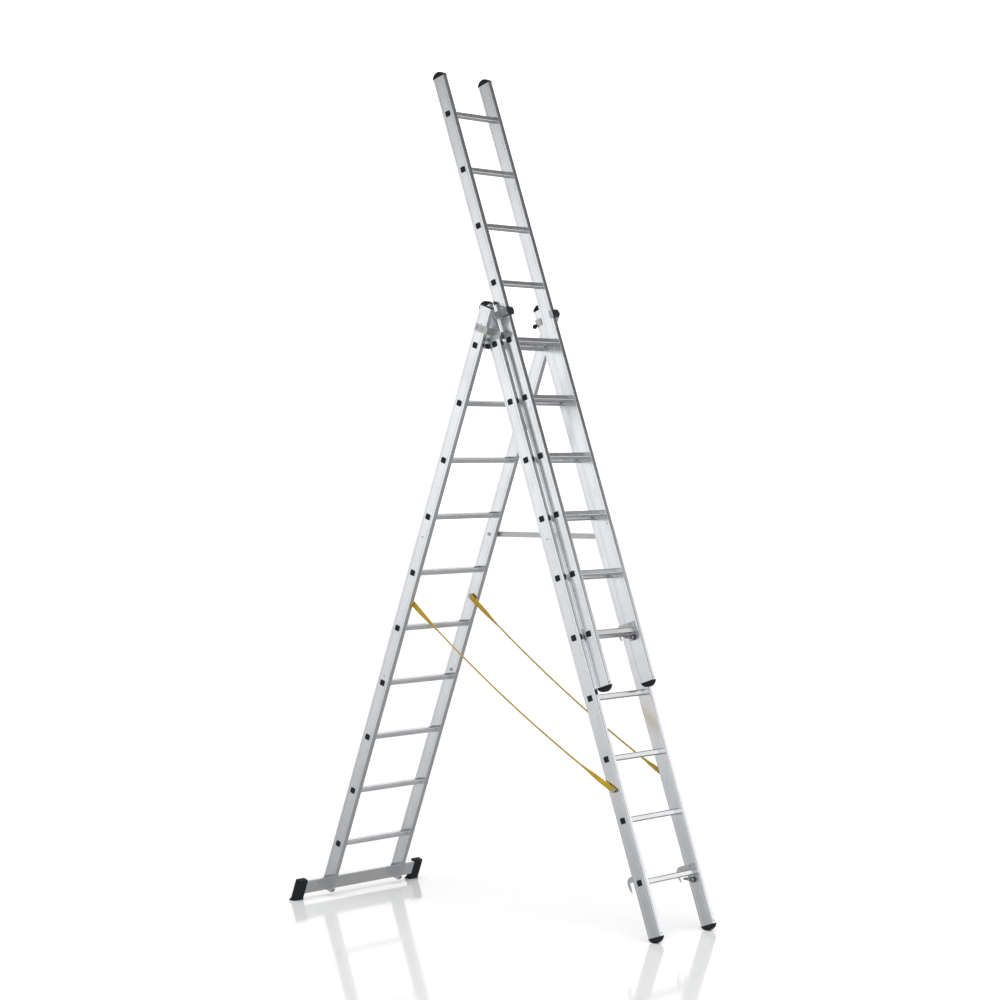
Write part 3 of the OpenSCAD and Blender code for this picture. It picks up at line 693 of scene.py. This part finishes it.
def coil_spring(sizes, inward):
    """A torsion spring about the X axis at the origin, which grows inward, with straight legs."""
    mesh = bmesh.new()
    standing = Matrix.Translation((0, 0, sizes.coil)) @ Matrix.Rotation(math.pi / 2, 4, "X")
    first = bmesh.ops.create_circle(
        mesh, segments=WIRE_SIDES, radius=sizes.wire, matrix=standing
    )["verts"]
    first_edges = mesh.edges[:]
    steps = round(CUTS_PER_TURN * sizes.turns)
    angle = math.tau * sizes.turns
    step_in = inward * sizes.wire * TURN_PITCH * sizes.turns / steps
    last = bmesh.ops.spin(
        mesh,
        geom=first + first_edges,
        cent=(0, 0, 0),
        axis=(1, 0, 0),
        dvec=(step_in, 0, 0),
        angle=angle,
        steps=steps,
    )["geom_last"]
    last_edges = [part for part in last if isinstance(part, bmesh.types.BMEdge)]
    for edges, way in (
        (first_edges, Vector((0, 1, 0))),
        (last_edges, Vector((0, -math.cos(angle), -math.sin(angle)))),
    ):
        drawn = bmesh.ops.extrude_edge_only(mesh, edges=edges)["geom"]
        ends = [part for part in drawn if isinstance(part, bmesh.types.BMVert)]
        bmesh.ops.translate(mesh, verts=ends, vec=way * sizes.leg)
    rims = [edge for edge in mesh.edges if edge.is_boundary]
    bmesh.ops.holes_fill(mesh, edges=rims, sides=WIRE_SIDES)
    bmesh.ops.recalc_face_normals(mesh, faces=mesh.faces[:])
    return mesh


class LADDER_OT_springs(bpy.types.Operator):
    """Make the torsion spring round each latch's pin"""

    bl_idname = "ladder.springs"
    bl_label = "Springs"

    def execute(self, context):
        sizes = context.scene.ladder_springs
        steel = material_named("spring steel")
        for section in ("front", "fly"):
            for side, sign in SIDES:
                low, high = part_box(f"{section}_latch_{side}")
                face = high.x if sign < 0 else low.x
                pin = Vector(JOINTS[f"{section}_latch_{side}_turn"]["pos_m"])
                place = Vector((face - sign * (sizes.wire + LATCH_CLEARANCE), pin.y, pin.z))
                mesh = coil_spring(sizes, -sign)
                leaned = Matrix.Translation(place) @ Matrix.Rotation(-FRONT_LEAN, 4, "X")
                bmesh.ops.transform(mesh, matrix=leaned, verts=mesh.verts[:])
                spring = piece_from(mesh, f"{section}_spring_{side}", steel)
                smooth(spring, math.radians(60))
                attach(spring, section)
        return {"FINISHED"}


# ---------------------------------------------------------------- stage


# Where the white band on the horizon reaches higher: the compass heading in degrees from +X, the
# cosines at which the lift starts and is full, and the lift.
SWEEP = (40, 0.45, 0.8, 0.60)
WINDOW = (-32, 0.5, 0.85, 0.20)
FRONT_WINDOW = (-140, 0.5, 0.85, 0.22)
BAND_TOP = 0.125  # sine of the elevation of the band's top elsewhere
BACKDROP = 1.4  # brightness of the room behind the ladder, as the camera sees it
OVERHEAD_TILT = (math.radians(18), math.radians(-20), 0)
OVERHEAD_WIDTH = math.radians(70)  # angle that the overhead light fills
FLOOR_SIDES = 96
SENSOR_WIDTH = 36.0  # millimetres
CLIP_END = 500.0


def towards(tree, direction, heading):
    """How nearly a direction points to a compass heading, in degrees from +X."""
    angle = math.radians(heading)
    return add_node(
        tree,
        "ShaderNodeVectorMath",
        {0: direction, 1: (math.cos(angle), math.sin(angle), 0.0)},
        operation="DOT_PRODUCT",
    ).outputs["Value"]


def lift(tree, direction, heading, start, full, most):
    """How much higher the white band reaches round a heading."""
    return smooth_step(tree, towards(tree, direction, heading), start, full, 0.0, most)


def background(tree, strength):
    """White light of a strength, for the world."""
    sockets = {"Color": (1.0, 1.0, 1.0, 1.0), "Strength": strength}
    return add_node(tree, "ShaderNodeBackground", sockets).outputs["Background"]


def studio_world(strength):
    """A studio: a white band round the horizon, taller where it faces the sweep and two windows."""
    world = bpy.data.worlds.new("studio")
    bpy.context.scene.world = world
    world.use_nodes = True
    tree = world.node_tree
    tree.nodes.clear()
    direction = add_node(tree, "ShaderNodeTexCoord").outputs["Generated"]
    height = add_node(tree, "ShaderNodeSeparateXYZ", {0: direction}).outputs["Z"]
    behind = added(tree, lift(tree, direction, *SWEEP), lift(tree, direction, *WINDOW))
    edge = added(tree, behind, added(tree, lift(tree, direction, *FRONT_WINDOW), BAND_TOP))
    above = arithmetic(tree, "SUBTRACT", height, edge)
    band = smooth_step(tree, above, start=-0.02, end=0.03, low=1.05, high=0.0)
    ground = smooth_step(tree, height, start=-0.21, end=0.0, low=0.29, high=1.0)
    ceiling = smooth_step(tree, height, start=0.35, end=0.95, low=0.07, high=0.45)
    lit = multiply(tree, band, ground)
    dark = multiply(tree, arithmetic(tree, "SUBTRACT", 1.0, band), ceiling)
    room = background(tree, multiply(tree, added(tree, lit, dark), strength))
    backdrop = background(tree, BACKDROP)
    seen = add_node(tree, "ShaderNodeLightPath").outputs["Is Camera Ray"]
    mixed = add_node(tree, "ShaderNodeMixShader", {0: seen, 1: room, 2: backdrop})
    output = add_node(tree, "ShaderNodeOutputWorld")
    tree.links.new(mixed.outputs["Shader"], output.inputs["Surface"])


def overhead_light(strength):
    """A very soft light from above, for the floor and the matt parts."""
    data = bpy.data.lights.new("overhead", "SUN")
    data.energy = strength
    data.angle = OVERHEAD_WIDTH
    lamp = bpy.data.objects.new("overhead", data)
    lamp.rotation_euler = Euler(OVERHEAD_TILT)
    lamp.visible_glossy = False
    bpy.context.scene.collection.objects.link(lamp)


class LADDER_OT_stage(bpy.types.Operator):
    """Make the floor, the soft studio light and the camera"""

    bl_idname = "ladder.stage"
    bl_label = "Stage"

    def execute(self, context):
        stage = context.scene.ladder_stage
        studio_world(stage.light_strength)
        disc = bmesh.new()
        bmesh.ops.create_circle(
            disc, cap_ends=True, segments=FLOOR_SIDES, radius=stage.floor_radius
        )
        floor = piece_from(disc, "floor", material_named("studio floor"))
        floor.visible_glossy = False
        overhead_light(stage.overhead)
        data = bpy.data.cameras.new("camera")
        data.sensor_width = SENSOR_WIDTH
        data.lens = stage.lens
        data.clip_end = CLIP_END
        camera = bpy.data.objects.new("camera", data)
        camera.location = HINGE + Vector(
            (-stage.camera_side, -stage.camera_front, -stage.camera_drop)
        )
        camera.rotation_euler = Euler((math.pi / 2 + stage.pitch, 0.0, stage.yaw))
        context.scene.collection.objects.link(camera)
        context.scene.camera = camera
        context.scene.view_settings.view_transform = "Standard"
        return {"FINISHED"}


# ---------------------------------------------------------------- panel and registration

STEPS = (LADDER_OT_finishes, LADDER_OT_straps, LADDER_OT_springs, LADDER_OT_stage)
GROUPS = {
    "ladder_straps": LadderStrapSizes,
    "ladder_springs": LadderSpringSizes,
    "ladder_colours": LadderColours,
    "ladder_stage": LadderStage,
}


class LADDER_PT_panel(bpy.types.Panel):
    """Lists the ladder's settings and operators"""

    bl_idname = "LADDER_PT_panel"
    bl_label = "Combination ladder"
    bl_space_type = "VIEW_3D"
    bl_region_type = "UI"
    bl_category = "Ladder"

    def draw(self, context):
        for step in STEPS:
            self.layout.operator(step.bl_idname)
        for name, group in GROUPS.items():
            box = self.layout.box()
            box.label(text=group.__doc__)
            for setting in group.__annotations__:
                box.prop(getattr(context.scene, name), setting)


CLASSES = (*GROUPS.values(), *STEPS, LADDER_PT_panel)


def register():
    for cls in CLASSES:
        bpy.utils.register_class(cls)
    for name, group in GROUPS.items():
        setattr(bpy.types.Scene, name, PointerProperty(type=group))


def unregister():
    for name in GROUPS:
        delattr(bpy.types.Scene, name)
    for cls in reversed(CLASSES):
        bpy.utils.unregister_class(cls)


def main():
    """Builds everything."""
    register()
    for step in STEPS:
        group, name = step.bl_idname.split(".")
        getattr(getattr(bpy.ops, group), name)()


if __name__ == "__main__":
    main()
